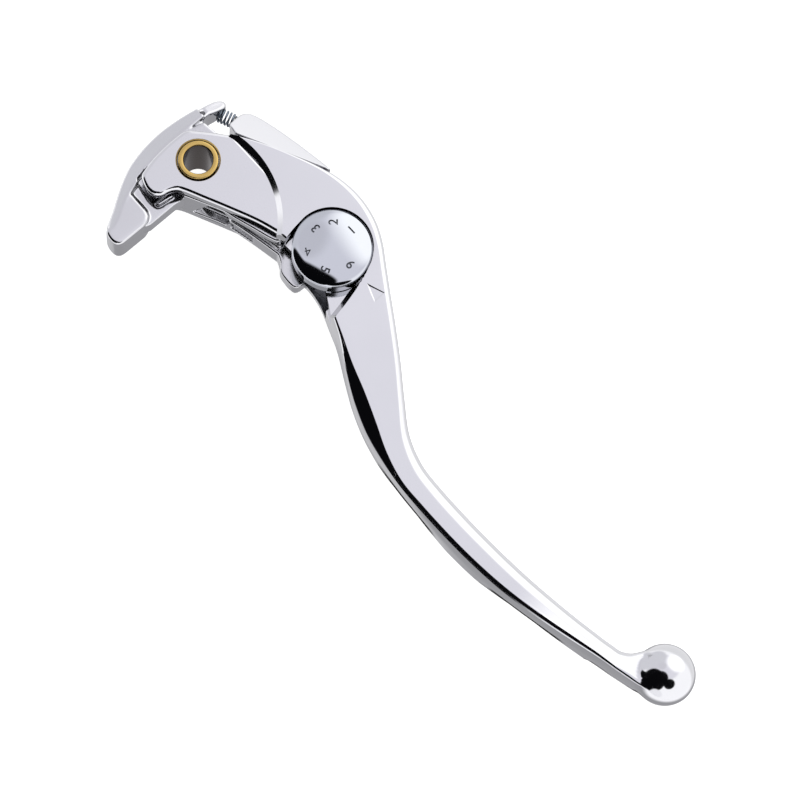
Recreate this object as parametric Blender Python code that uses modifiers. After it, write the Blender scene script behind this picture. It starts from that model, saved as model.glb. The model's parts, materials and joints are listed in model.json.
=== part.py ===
"""Hydraulic control lever with a six-position reach adjuster, for a motorcycle handlebar.

Frame: the origin is on the pivot axis at mid height, +X runs from the pivot to the centre of the
ball end, +Y is the side the fingers pull from, and +Z is up along the pivot axis.
Driving sizes are in millimetres; MM turns them into metres.
"""
import bpy
import bmesh
from math import atan2, cos, degrees, pi, radians, sin
from mathutils import Matrix, Vector

MM = 0.001
GAP = 0.3                        # clearance between pieces that touch

# Lever blade
BALL_X = 187.0                   # pivot axis to the centre of the ball end
BALL_R = 8.25
CHEEK_HALF = 9.7                 # half height of the fork that carries the pivot bush
HEAD_HALF = 11.0                 # half height of the head round the adjuster
STEP_CENTRE = (8.4, -16.3)       # arc where the head steps up from the fork
STEP_R = 28.3

# Pivot bush
BUSH_HALF = 10.0
BUSH_OUTER_R = 5.5
BUSH_BORE_R = 4.0
BUSH_CHAMFER = 0.3

# Knocker, the casting that pushes the piston
SLOT_HALF = 6.6                  # half height of the fork's slot
KNOCKER_HALF = SLOT_HALF - GAP
KNOCKER_RIM_HALF = 2.2           # half height left under the rim's long chamfer
NOSE_HALF = 5.8
TAIL_TOP = 1.0                   # the tail lies under the cam's follower level

# Reach adjuster
DIAL = (42.7, 10.6)              # axis of the dial
DIAL_R = 10.9
RECESS_R = 11.5
RECESS_FLOOR = 5.2
CHAMBER_TOP = 2.4
CHAMBER_R = 10.4
SHAFT_R = 3.0
CAM_LOW_R = 6.0                  # cam radius under the tail with the dial at 6
CAM_LIFT = 3.3
CAM_TURN = radians(270)
DIGIT_ANGLES = (90, 136, 180, 240, 300, 360)
DETENT_RADIUS = 7.4
DETENT_ANGLE = radians(60)
DETENT_BALL_R = 1.2
DETENT_BALL_Z = RECESS_FLOOR + 0.1 + DETENT_BALL_R
DETENT_BORE_TOP = 9.6
DIMPLE_R = DETENT_BALL_R + 0.25
DIMPLE_DEPTH = 0.7

# Take-up spring between the knocker's lug and the blade's hump
SPRING_MID = (-6.4, 16.1)
SPRING_AXIS = radians(23)
SPRING_LENGTH = 4.9
SPRING_COIL_R = 1.85
SPRING_WIRE_R = 0.28
SPRING_TURNS = 4.25


def new_collection(name):
    collection = bpy.data.collections.new(name)
    bpy.context.scene.collection.children.link(collection)
    return collection


def clear_scene():
    for obj in list(bpy.data.objects):
        bpy.data.objects.remove(obj, do_unlink=True)


def make_material(name, colour, roughness, metallic):
    material = bpy.data.materials.new(name)
    material.use_nodes = True
    shader = material.node_tree.nodes["Principled BSDF"]
    shader.inputs["Base Color"].default_value = (*colour, 1.0)
    shader.inputs["Roughness"].default_value = roughness
    shader.inputs["Metallic"].default_value = metallic
    return material


def catmull_rom(points, steps):
    """An open smooth run through the points, with the given steps in each span."""
    ends = [points[0]] + list(points) + [points[-1]]
    run = []
    for i in range(1, len(ends) - 2):
        p0, p1, p2, p3 = (Vector(ends[i + k]) for k in (-1, 0, 1, 2))
        for step in range(steps):
            t = step / steps
            run.append(0.5 * ((2 * p1) + (p2 - p0) * t + (2 * p0 - 5 * p1 + 4 * p2 - p3) * t * t
                              + (3 * p1 - p0 - 3 * p2 + p3) * t ** 3))
    run.append(Vector(points[-1]))
    return [tuple(p) for p in run]


def arc(centre, radius, start, end, steps):
    """Points along an arc, angles in degrees."""
    cx, cy = centre
    angles = (radians(start + (end - start) * i / steps) for i in range(steps + 1))
    return [(cx + radius * cos(a), cy + radius * sin(a)) for a in angles]


def weld(mesh):
    """Joins points that coincide, and points every face outwards."""
    edit = bmesh.new()
    edit.from_mesh(mesh)
    bmesh.ops.remove_doubles(edit, verts=edit.verts, dist=0.000005)
    bmesh.ops.dissolve_degenerate(edit, edges=edit.edges, dist=0.000002)
    bmesh.ops.recalc_face_normals(edit, faces=edit.faces)
    edit.to_mesh(mesh)
    edit.free()


def from_curve(curve, name, collection):
    """A mesh object from a curve, with its caps welded, so that it can be cut."""
    source = bpy.data.objects.new(name + "_curve", curve)
    collection.objects.link(source)
    evaluated = source.evaluated_get(bpy.context.evaluated_depsgraph_get())
    mesh = bpy.data.meshes.new_from_object(evaluated)
    bpy.data.objects.remove(source)
    bpy.data.curves.remove(curve)
    weld(mesh)
    mesh.name = name
    obj = bpy.data.objects.new(name, mesh)
    collection.objects.link(obj)
    return obj


def plate(name, outline, low, high, collection):
    """A flat plate with the given outline, between two heights."""
    curve = bpy.data.curves.new(name, "CURVE")
    curve.dimensions = "2D"
    curve.fill_mode = "BOTH"
    curve.extrude = (high - low) / 2 * MM
    spline = curve.splines.new("POLY")
    spline.points.add(len(outline) - 1)
    for point, (x, y) in zip(spline.points, outline):
        point.co = (x * MM, y * MM, 0, 1)
    spline.use_cyclic_u = True
    obj = from_curve(curve, name, collection)
    obj.data.transform(Matrix.Translation((0, 0, (high + low) / 2 * MM)))
    return obj


def turned(name, profile, collection, steps=40, centre=(0, 0)):
    """A ring or disc turned about Z from an (r, z) profile that runs down its outer side."""
    mesh = bpy.data.meshes.new(name)
    points = [(r * MM, 0, z * MM) for r, z in profile]
    count = len(points)
    closed = profile[0][0] > 0
    edges = [(i, i + 1) for i in range(count - 1)] + ([(count - 1, 0)] if closed else [])
    mesh.from_pydata(points, edges, [])
    obj = bpy.data.objects.new(name, mesh)
    obj.location = (centre[0] * MM, centre[1] * MM, 0)
    collection.objects.link(obj)
    screw = obj.modifiers.new("Screw", "SCREW")
    screw.axis = "Z"
    screw.steps = steps
    screw.render_steps = steps
    screw.use_merge_vertices = True
    screw.merge_threshold = 0.00001
    return obj


def bake(obj):
    """Applies an object's modifiers and place to its mesh, so that it can join another."""
    bpy.context.view_layer.update()
    evaluated = obj.evaluated_get(bpy.context.evaluated_depsgraph_get())
    mesh = bpy.data.meshes.new_from_object(evaluated)
    mesh.transform(obj.matrix_world)
    weld(mesh)
    obj.modifiers.clear()
    obj.data = mesh
    obj.matrix_world = Matrix.Identity(4)
    bpy.context.view_layer.update()
    return obj


def combine(obj, others, operation):
    for other in others:
        modifier = obj.modifiers.new(operation.title(), "BOOLEAN")
        modifier.operation = operation
        modifier.solver = "EXACT"
        modifier.object = other
        other.hide_render = True
        other.display_type = "WIRE"
    return obj


def rod(name, start, end, radius, collection, sides=24):
    """A straight round cutter between two points in millimetres."""
    start = Vector(start) * MM
    end = Vector(end) * MM
    mesh = bpy.data.meshes.new(name)
    edit = bmesh.new()
    bmesh.ops.create_cone(edit, cap_ends=True, segments=sides, radius1=radius * MM,
                          radius2=radius * MM, depth=(end - start).length)
    edit.to_mesh(mesh)
    edit.free()
    mesh.transform((end - start).to_track_quat("Z", "Y").to_matrix().to_4x4())
    mesh.transform(Matrix.Translation((start + end) / 2))
    obj = bpy.data.objects.new(name, mesh)
    collection.objects.link(obj)
    return obj


def box(name, low, high, collection):
    mesh = bpy.data.meshes.new(name)
    edit = bmesh.new()
    bmesh.ops.create_cube(edit, size=1)
    edit.to_mesh(mesh)
    edit.free()
    size = [(b - a) * MM for a, b in zip(low, high)]
    middle = [(a + b) / 2 * MM for a, b in zip(low, high)]
    mesh.transform(Matrix.Translation(middle) @ Matrix.Diagonal((*size, 1)))
    obj = bpy.data.objects.new(name, mesh)
    collection.objects.link(obj)
    return obj


def finish(obj, material):
    obj.data.materials.clear()
    obj.data.materials.append(material)
    obj.data.shade_smooth()
    obj.data.set_sharp_from_angle(angle=radians(32))
    return obj


# ---------------------------------------------------------------- lever blade

FRONT_EDGE = ((1.2, 12.0), (9.0, 16.6), (17.0, 20.6), (25.0, 24.1), (31.0, 25.7), (36.0, 26.1),
              (41.0, 25.8), (46.0, 24.3), (54.0, 19.5), (62.0, 14.2))
REAR_EDGE = ((62.0, -4.6), (56.0, -1.5), (50.0, 1.2), (43.0, 2.5), (35.0, 2.8), (29.3, 2.9))
CHEEK_EDGE = ((1.0, 12.2), (-3.2, 8.6), (-7.8, 4.2), (-8.9, 1.5), (-9.0, -3.5), (-8.4, -9.0),
              (-7.3, -13.6), (-5.6, -15.2), (-2.5, -15.9), (-0.4, -15.4), (1.0, -13.4),
              (1.6, -11.0), (3.6, -8.9), (9.0, -6.3), (16.0, -3.0), (24.0, 0.5), (30.0, 2.5))
HUMP_EDGE = ((-2.4, 13.4), (-3.1, 18.8), (-1.0, 21.1), (5.0, 22.8), (13.0, 24.1), (21.0, 24.4))
HUMP_RIDGE = ((0.5, 11.6), (9.0, 16.4), (17.0, 20.4), (22.0, 22.6))
HUMP_LOW = 5.5

# Grip stations: x, rear side, rear edge of the top face, front side, half height, front round
GRIP = (
    (57.0, -2.3, -1.5, 17.2, 10.97, 3.0),
    (63.0, -5.2, -4.2, 13.4, 10.7, 3.2),
    (70.0, -9.2, -7.1, 9.0, 9.9, 3.6),
    (78.0, -13.4, -9.8, 3.6, 8.6, 4.2),
    (86.0, -16.4, -13.0, -2.2, 7.6, 4.6),
    (94.0, -18.2, -16.4, -7.6, 6.9, 4.4),
    (102.0, -19.1, -18.2, -10.4, 6.4, 4.2),
    (111.0, -19.7, -18.6, -11.1, 6.1, 4.2),
    (121.0, -20.0, -18.5, -11.1, 6.0, 4.2),
    (131.0, -19.4, -18.0, -10.8, 6.0, 4.2),
    (142.0, -18.0, -16.8, -10.1, 6.0, 4.2),
    (154.0, -15.7, -14.5, -8.7, 5.9, 4.0),
    (166.0, -12.8, -11.6, -6.8, 5.7, 3.8),
    (174.0, -11.1, -9.7, -5.2, 5.5, 3.6),
    (180.0, -9.9, -8.2, 0.5, 5.2, 3.4),
    (187.0, -7.4, -6.6, 4.0, 4.6, 3.0),
)


def grip_section(station):
    """The outline of the grip across X: a flat top and bottom, a round front and a crowned rear."""
    x, rear, rear_top, front, half, round_r = station
    upper = [(rear, 0.45 * half), (rear_top, half)]
    for angle in (90, 60, 30, 0):
        a = radians(angle)
        upper.append((front - round_r + round_r * cos(a), half - round_r + round_r * sin(a)))
    lower = [(y, -z) for y, z in reversed(upper)]
    return [Vector((x, y, z)) * MM for y, z in upper + lower]


def make_grip(collection):
    """The grip as a loft through its stations."""
    mesh = bpy.data.meshes.new("grip")
    edit = bmesh.new()
    rings = [[edit.verts.new(p) for p in grip_section(s)] for s in GRIP]
    sides = len(rings[0])
    for first, second in zip(rings, rings[1:]):
        for i in range(sides):
            j = (i + 1) % sides
            edit.faces.new((first[i], first[j], second[j], second[i]))
    edit.faces.new(rings[0])
    edit.faces.new(list(reversed(rings[-1])))
    bmesh.ops.triangulate(edit, faces=edit.faces)
    bmesh.ops.recalc_face_normals(edit, faces=edit.faces)
    edit.to_mesh(mesh)
    edit.free()
    obj = bpy.data.objects.new("grip", mesh)
    collection.objects.link(obj)
    return obj


def make_ball(collection):
    mesh = bpy.data.meshes.new("ball_end")
    edit = bmesh.new()
    bmesh.ops.create_uvsphere(edit, u_segments=28, v_segments=16, radius=BALL_R * MM)
    edit.to_mesh(mesh)
    edit.free()
    mesh.transform(Matrix.Translation((BALL_X * MM, 0, 0)))
    obj = bpy.data.objects.new("ball_end", mesh)
    collection.objects.link(obj)
    return obj


def make_hump(collection):
    """The shoulder that the take-up spring pushes on, falling away from a ridge to a lower edge."""
    mesh = bpy.data.meshes.new("hump")
    edit = bmesh.new()
    for side in (-1, 1):
        for x, y in HUMP_RIDGE:
            edit.verts.new(Vector((x, y, side * (HEAD_HALF - 0.4))) * MM)
        for x, y in HUMP_EDGE:
            edit.verts.new(Vector((x, y, side * HUMP_LOW)) * MM)
    hull = bmesh.ops.convex_hull(edit, input=edit.verts)
    bmesh.ops.delete(edit, geom=list(set(hull["geom_interior"])), context="VERTS")
    bmesh.ops.recalc_face_normals(edit, faces=edit.faces)
    edit.to_mesh(mesh)
    edit.free()
    obj = bpy.data.objects.new("hump", mesh)
    collection.objects.link(obj)
    return obj


def step_angle(x, y):
    return degrees(atan2(y - STEP_CENTRE[1], x - STEP_CENTRE[0]))


def head_outline():
    step = arc(STEP_CENTRE, STEP_R, step_angle(29.3, 2.9), step_angle(1.2, 11.1), 16)
    return step[:-1] + catmull_rom(FRONT_EDGE, 2) + list(REAR_EDGE[:-1])


def cheek_outline():
    return catmull_rom(CHEEK_EDGE, 2) + [(34.0, 6.0), (34.0, 14.0), (10.0, 13.0)]


def recess_outline():
    cx, cy = DIAL
    rim = arc(DIAL, RECESS_R, 24, 180, 26)
    return rim + [(cx - RECESS_R + 0.9, cy - 7.8), (cx - RECESS_R + 0.9, -12.0),
                  (60.0, -12.0), (56.4, 4.0), (55.0, 10.5)]


def chamber_outline():
    cx, cy = DIAL
    rim = arc(DIAL, CHAMBER_R, 0, 180, 24)
    return rim + [(30.0, cy - 4.0), (30.0, -12.0), (cx + CHAMBER_R, -12.0)]


def fork_outline():
    return [(-25.0, -40.0), (32.5, -40.0), (32.5, 7.8), (22.0, 8.4), (12.0, 10.4), (4.0, 12.4),
            (-1.4, 13.2), (-2.2, 13.3), (-3.4, 30.0), (-25.0, 30.0)]


def spring_point(along, height=0.0):
    """A point on the take-up spring's axis, measured from its middle."""
    return (SPRING_MID[0] + along * cos(SPRING_AXIS), SPRING_MID[1] + along * sin(SPRING_AXIS), height)


def make_blade(parts, cutters, material):
    blade = plate("lever_blade", head_outline(), -HEAD_HALF, HEAD_HALF, parts)
    joined = [
        plate("cheeks", cheek_outline(), -CHEEK_HALF, CHEEK_HALF, cutters),
        make_hump(cutters),
        make_grip(cutters),
        make_ball(cutters),
    ]
    combine(blade, joined, "UNION")
    bake(blade)
    end = SPRING_LENGTH / 2 + GAP
    cut = [
        plate("fork_slot", fork_outline(), -SLOT_HALF, SLOT_HALF, cutters),
        plate("dial_recess", recess_outline(), RECESS_FLOOR, HEAD_HALF + 5, cutters),
        plate("cam_chamber", chamber_outline(), -SLOT_HALF + 0.01, CHAMBER_TOP, cutters),
        rod("bush_bore", (0, 0, -20), (0, 0, 20), BUSH_OUTER_R + GAP, cutters, 48),
        rod("shaft_bore", (*DIAL, -20), (*DIAL, 20), SHAFT_R + GAP, cutters, 32),
        rod("clip_pocket", (*DIAL, -20), (*DIAL, -HEAD_HALF + 1.9), 6.2, cutters, 32),
        rod("spring_seat", spring_point(end - 4.0), spring_point(end), 2.7, cutters),
    ]
    for angle in DIGIT_ANGLES:
        x, y = detent_place(-angle)
        cut.append(rod("dimple", (x, y, RECESS_FLOOR - DIMPLE_DEPTH), (x, y, 20), DIMPLE_R, cutters, 16))
    combine(blade, cut, "DIFFERENCE")
    return finish(bake(blade), material)


# ---------------------------------------------------------------- knocker

RIM_RIDGE = ((-10.6, 9.0), (-10.3, 4.0), (-10.2, -2.0), (-9.7, -8.0), (-8.6, -13.4), (-7.2, -18.0),
             (-6.0, -21.4), (-1.2, -30.6))
RIM_EDGE = ((-12.6, 9.6), (-13.8, 5.0), (-14.2, -1.0), (-13.8, -7.0), (-12.4, -13.4),
            (-10.6, -17.6), (-8.2, -21.8), (-2.4, -31.0))
ARM_REAR = ((3.2, -9.5), (9.0, -6.5), (15.0, -3.6), (18.0, -2.8), (24.0, -1.4), (32.4, 0.3))
TAB_EDGE = ((34.4, -0.6), (36.4, -2.4), (37.6, -2.8), (42.2, -2.8), (43.2, -1.8), (43.5, 0.6))
LUG = ((-11.5, 6.0), (-12.2, 10.0), (-12.0, 14.0), (-11.2, 16.9), (-9.9, 18.2), (-8.8, 17.9),
       (-8.3, 16.4), (-8.6, 14.0), (-9.2, 11.0), (-7.0, 7.0))
LUG_HALF = 4.5
NECK_HALF = 2.9


def follower_y(x):
    """The tail's face towards the cam, a straight flank with a bump under the dial's axis."""
    top = DIAL[1] - CAM_LOW_R - GAP
    return top - 0.12 * (x - DIAL[0]) ** 2 if abs(x - DIAL[0]) < 2.0 else top - 0.5


def knocker_inner():
    """The hub's side towards the fork's root, from the arm back to the lug."""
    return [(30.0, 6.4), (20.0, 7.2), (12.0, 8.6), (6.0, 9.6), (0.0, 10.2), (-5.0, 9.6), (-8.0, 9.2)]


def make_rim(collection):
    """The hub and nose, with a long chamfer on both outer edges."""
    mesh = bpy.data.meshes.new("knocker_rim")
    edit = bmesh.new()
    ridge = catmull_rom(RIM_RIDGE, 2)
    edge = catmull_rom(RIM_EDGE, 2)
    halves = [KNOCKER_HALF if y > -16 else NOSE_HALF for _, y in ridge]
    rings = []
    for (rx, ry), (ex, ey), half in zip(ridge, edge, halves):
        ix = rx + 2.0
        ring = [(ix, ry, half), (rx, ry, half), (ex, ey, KNOCKER_RIM_HALF),
                (ex, ey, -KNOCKER_RIM_HALF), (rx, ry, -half), (ix, ry, -half)]
        rings.append([edit.verts.new(Vector(p) * MM) for p in ring])
    sides = len(rings[0])
    for first, second in zip(rings, rings[1:]):
        for i in range(sides):
            j = (i + 1) % sides
            edit.faces.new((first[i], first[j], second[j], second[i]))
    edit.faces.new(rings[0])
    edit.faces.new(list(reversed(rings[-1])))
    bmesh.ops.triangulate(edit, faces=edit.faces)
    bmesh.ops.recalc_face_normals(edit, faces=edit.faces)
    edit.to_mesh(mesh)
    edit.free()
    obj = bpy.data.objects.new("knocker_rim", mesh)
    collection.objects.link(obj)
    return obj


def make_knocker(parts, cutters, material):
    tail_top = [(x, follower_y(x)) for x in (40.7, 41.7, 42.7, 43.5)]
    arm = catmull_rom(ARM_REAR, 2) + list(TAB_EDGE) + list(reversed(tail_top)) + [(36.0, 4.2)]
    arm += knocker_inner() + [(-9.0, 4.0), (-9.0, -6.0), (0.0, -12.0), (3.2, -12.0)]
    hub = [(3.2, -9.6)] + catmull_rom(ARM_REAR[:4], 2)[1:]
    hub += [(24.0, -0.9), (30.4, 1.2), (31.2, 2.4), (30.6, 4.2)]
    hub += knocker_inner()[1:] + [(-9.4, 4.0), (-9.4, -6.0), (-8.0, -10.5), (3.2, -10.5)]
    nose = [(-6.6, -19.2), (2.2, -19.2), (3.3, -20.4), (3.4, -29.0), (2.8, -31.4), (1.4, -32.0),
            (-1.4, -31.3)]
    neck = [(-8.6, -9.0), (3.4, -9.0), (3.4, -21.0), (-6.0, -22.0)]
    knocker = plate("knocker", arm, -KNOCKER_HALF, TAIL_TOP, parts)
    joined = [
        plate("knocker_hub", hub, -KNOCKER_HALF + 0.02, KNOCKER_HALF, cutters),
        plate("knocker_nose", nose, -NOSE_HALF + 0.02, NOSE_HALF - 0.02, cutters),
        plate("knocker_neck", neck, -NECK_HALF, NECK_HALF, cutters),
        plate("knocker_lug", LUG, -LUG_HALF, LUG_HALF, cutters),
        make_rim(cutters),
    ]
    combine(knocker, joined, "UNION")
    bake(knocker)
    end = -SPRING_LENGTH / 2 - GAP
    cut = [
        rod("knocker_bore", (0, 0, -20), (0, 0, 20), BUSH_OUTER_R + GAP, cutters, 48),
        rod("lug_seat", spring_point(end), spring_point(end + 4.0), 2.6, cutters),
        box("neck_top_pocket", (-7.0, -17.0, NECK_HALF - 1.5), (2.0, -11.0, 12.0), cutters),
        plate("arm_pocket", [(8.4, -10.0), (15.2, -7.0), (15.2, -1.2), (8.4, -4.4)],
              -4.6, 4.6, cutters),
        plate("arm_slot", [(16.4, -7.0), (34.0, -3.0), (34.0, 2.6), (16.4, -0.8)],
              TAIL_TOP, 3.4, cutters),
        plate("bar_pocket", [(16.8, -7.0), (24.0, -4.0), (24.0, 0.2), (16.8, -1.2)],
              -4.8, -0.6, cutters),
    ]
    combine(knocker, cut, "DIFFERENCE")
    return finish(bake(knocker), material)


# ---------------------------------------------------------------- bush and spring

def make_bush(parts, material):
    c = BUSH_CHAMFER
    profile = [(BUSH_BORE_R + c, BUSH_HALF), (BUSH_OUTER_R - c, BUSH_HALF), (BUSH_OUTER_R, BUSH_HALF - c),
               (BUSH_OUTER_R, -BUSH_HALF + c), (BUSH_OUTER_R - c, -BUSH_HALF), (BUSH_BORE_R + c, -BUSH_HALF),
               (BUSH_BORE_R, -BUSH_HALF + c), (BUSH_BORE_R, BUSH_HALF - c)]
    return finish(turned("pivot_bush", profile, parts, 48), material)


def coil(name, radius, wire, turns, length, collection, steps=12):
    """A compression spring along +Z with closed ends, starting at z = 0."""
    curve = bpy.data.curves.new(name, "CURVE")
    curve.dimensions = "3D"
    curve.bevel_depth = wire * MM
    curve.bevel_resolution = 2
    curve.use_fill_caps = True
    count = int(turns * steps) + 1
    spline = curve.splines.new("POLY")
    spline.points.add(count - 1)
    for i, point in enumerate(spline.points):
        a = 2 * pi * i / steps
        z = wire + (length - 2 * wire) * i / (count - 1)
        point.co = (radius * cos(a) * MM, radius * sin(a) * MM, z * MM, 1)
    obj = bpy.data.objects.new(name, curve)
    collection.objects.link(obj)
    return obj


def make_take_up_spring(parts, material):
    spring = coil("take_up_spring", SPRING_COIL_R, SPRING_WIRE_R, SPRING_TURNS, SPRING_LENGTH, parts)
    spring.location = Vector(spring_point(-SPRING_LENGTH / 2)) * MM
    spring.rotation_euler = (0, radians(90), SPRING_AXIS)
    spring.data.materials.append(material)
    return spring


# ---------------------------------------------------------------- reach adjuster

def detent_place(turn=0):
    angle = DETENT_ANGLE + radians(turn)
    return (DIAL[0] + DETENT_RADIUS * cos(angle), DIAL[1] + DETENT_RADIUS * sin(angle))


def make_dial(parts, cutters, axis, material):
    """The domed dial on the shaft's upper end, with a blind bore for the detent underneath."""
    top = 12.0
    edge = 10.3
    skirt = RECESS_FLOOR + GAP
    collar = SHAFT_R + 2.6
    spigot = SHAFT_R - 0.4 + GAP
    dome = [(DIAL_R * sin(a) * 0.97, edge + (top - edge) * cos(a)) for a in (0.35, 0.7, 1.05, 1.4)]
    profile = [(0, top)] + dome + [(DIAL_R, edge - 0.5), (DIAL_R, skirt), (collar, skirt),
                                   (collar, skirt + 1.4), (spigot, skirt + 1.4), (spigot, 9.6), (0, 9.6)]
    dial = bake(turned("adjuster_dial", profile, parts, 48))
    x, y = (a - b for a, b in zip(detent_place(), DIAL))
    bore = rod("detent_bore", (x, y, 0), (x, y, DETENT_BORE_TOP), DETENT_BALL_R + GAP, cutters, 20)
    combine(dial, [bore], "DIFFERENCE")
    bake(dial)
    dial.parent = axis
    return finish(dial, material)


def cam_radius(turn):
    """Radius under the tail once the dial has been turned by this angle from 6 towards 1."""
    dwell = radians(25)
    if turn <= CAM_TURN:
        return CAM_LOW_R + CAM_LIFT * turn / CAM_TURN
    fall = (turn - CAM_TURN) / (2 * pi - dwell - CAM_TURN)
    return CAM_LOW_R + CAM_LIFT * max(0.0, 1.0 - fall)


def make_cam(parts, cutters, axis, material):
    steps = 60
    outline = []
    for i in range(steps):
        turn = 2 * pi * i / steps
        angle = -pi / 2 - turn
        outline.append((cam_radius(turn) * cos(angle), cam_radius(turn) * sin(angle)))
    cam = plate("adjuster_cam", list(reversed(outline)), -SLOT_HALF + GAP, CHAMBER_TOP - GAP, parts)
    profile = [(0, 9.3), (SHAFT_R - 0.4, 9.3), (SHAFT_R - 0.4, 6.4), (SHAFT_R, 6.4), (SHAFT_R, -9.9),
               (SHAFT_R - 0.6, -9.9), (SHAFT_R - 0.6, -10.5), (SHAFT_R, -10.5), (SHAFT_R, -10.8), (0, -10.8)]
    shaft = bake(turned("cam_shaft", profile, cutters, 32))
    combine(cam, [shaft], "UNION")
    cam = bake(cam)
    cam.parent = axis
    return finish(cam, material)


def make_detent(parts, material_ball, material_spring):
    """The ball that clicks into the floor's dimples, and its spring, both in the dial's bore."""
    x, y = detent_place()
    mesh = bpy.data.meshes.new("detent_ball")
    edit = bmesh.new()
    bmesh.ops.create_uvsphere(edit, u_segments=16, v_segments=10, radius=DETENT_BALL_R * MM)
    edit.to_mesh(mesh)
    edit.free()
    ball = bpy.data.objects.new("detent_ball", mesh)
    ball.location = (x * MM, y * MM, DETENT_BALL_Z * MM)
    parts.objects.link(ball)
    finish(ball, material_ball)
    foot = DETENT_BALL_Z + DETENT_BALL_R + 0.1
    spring = coil("detent_spring", 0.95, 0.16, 3.5, DETENT_BORE_TOP - 0.1 - foot, parts, 10)
    spring.location = (x * MM, y * MM, foot * MM)
    spring.data.materials.append(material_spring)
    return ball, spring


def make_shaft_rings(parts, materials):
    """The O-ring under the dial, and the washer and circlip that hold the shaft."""
    made = []
    ring = [(4.35 + 0.75 * cos(a), RECESS_FLOOR + 0.15 + 0.62 + 0.6 * sin(a)) for a in
            (radians(90 - 36 * i) for i in range(10))]
    made.append(finish(turned("shaft_o_ring", ring, parts, 32, DIAL), materials["rubber"]))
    floor = -HEAD_HALF + 1.9
    washer = [(3.3, floor - 0.15), (5.7, floor - 0.15), (5.7, floor - 0.55), (3.3, floor - 0.55)]
    made.append(finish(turned("thrust_washer", washer, parts, 32, DIAL), materials["steel"]))
    clip = arc((0, 0), 5.0, 30, 330, 20) + arc((0, 0), SHAFT_R - 0.4 + 0.05, 330, 30, 16)
    circlip = plate("circlip", clip, -10.42, -9.98, parts)
    circlip.location = (DIAL[0] * MM, DIAL[1] * MM, 0)
    made.append(finish(circlip, materials["spring_steel"]))
    return made


def build():
    clear_scene()
    parts = new_collection("control_lever")
    cutters = new_collection("cutters")
    materials = {
        "casting": make_material("polished_aluminium", (0.78, 0.78, 0.80), 0.22, 1.0),
        "knocker": make_material("cast_aluminium", (0.66, 0.66, 0.69), 0.34, 1.0),
        "brass": make_material("bush_bronze", (0.78, 0.58, 0.22), 0.28, 1.0),
        "chrome": make_material("dial_chrome", (0.80, 0.82, 0.86), 0.06, 1.0),
        "steel": make_material("zinc_plated_steel", (0.62, 0.64, 0.68), 0.3, 1.0),
        "spring_steel": make_material("spring_steel", (0.35, 0.37, 0.42), 0.3, 1.0),
        "rubber": make_material("black_rubber", (0.02, 0.02, 0.02), 0.7, 0.0),
    }
    axis = bpy.data.objects.new("dial_axis", None)
    axis.location = (DIAL[0] * MM, DIAL[1] * MM, 0)
    parts.objects.link(axis)
    make_blade(parts, cutters, materials["casting"])
    make_knocker(parts, cutters, materials["knocker"])
    make_bush(parts, materials["brass"])
    make_take_up_spring(parts, materials["spring_steel"])
    make_dial(parts, cutters, axis, materials["chrome"])
    make_cam(parts, cutters, axis, materials["steel"])
    make_detent(parts, materials["steel"], materials["spring_steel"])
    make_shaft_rings(parts, materials)


build()
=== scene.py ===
"""The looks of the control lever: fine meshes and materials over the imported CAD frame.

Sizes are in millimetres in the CAD's own frame, and MM turns them into metres. The origin is on the
pivot axis at mid height, +X runs to the ball end, and +Z is up, the side the dial is on.
"""
import json
from math import atan2, cos, pi, radians, sin, sqrt, tau

import bmesh
import bpy
import numpy as np
from mathutils import Matrix, Vector


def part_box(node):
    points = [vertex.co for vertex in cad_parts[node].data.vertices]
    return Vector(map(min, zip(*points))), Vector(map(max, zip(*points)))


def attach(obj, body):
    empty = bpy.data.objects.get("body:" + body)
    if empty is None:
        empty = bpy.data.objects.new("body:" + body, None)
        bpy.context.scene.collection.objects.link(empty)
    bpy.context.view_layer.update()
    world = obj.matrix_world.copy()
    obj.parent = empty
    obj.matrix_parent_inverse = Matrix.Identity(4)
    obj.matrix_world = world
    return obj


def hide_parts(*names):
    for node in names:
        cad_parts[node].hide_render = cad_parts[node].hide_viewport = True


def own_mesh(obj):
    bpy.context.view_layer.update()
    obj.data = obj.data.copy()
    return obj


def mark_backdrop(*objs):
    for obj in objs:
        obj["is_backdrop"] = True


MM = 0.001

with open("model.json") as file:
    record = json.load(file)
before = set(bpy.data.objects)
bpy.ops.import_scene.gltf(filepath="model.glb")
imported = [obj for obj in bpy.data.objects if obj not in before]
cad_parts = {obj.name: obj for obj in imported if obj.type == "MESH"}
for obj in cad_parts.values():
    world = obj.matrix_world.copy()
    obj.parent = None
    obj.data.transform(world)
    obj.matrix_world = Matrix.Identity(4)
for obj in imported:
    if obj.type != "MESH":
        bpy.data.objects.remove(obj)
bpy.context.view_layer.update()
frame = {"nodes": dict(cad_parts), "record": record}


def node_box(node):
    """A CAD node's lowest and highest corners, in millimetres."""
    low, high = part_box(node)
    return Vector(low) / MM, Vector(high) / MM


def joint_place(name):
    """Where a joint of the record is, in millimetres."""
    joint = next(j for j in frame["record"]["behaviour"]["joints"] if j["name"] == name)
    return Vector(joint["pos_m"]) / MM


BLADE_HIGH = node_box("lever_blade")[1]
BUSH_HIGH = node_box("pivot_bush")[1]
DIAL_LOW, DIAL_HIGH = node_box("adjuster_dial")
DIAL_AXIS = joint_place("adjuster_turn")
DIAL = (DIAL_AXIS.x, DIAL_AXIS.y)

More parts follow.
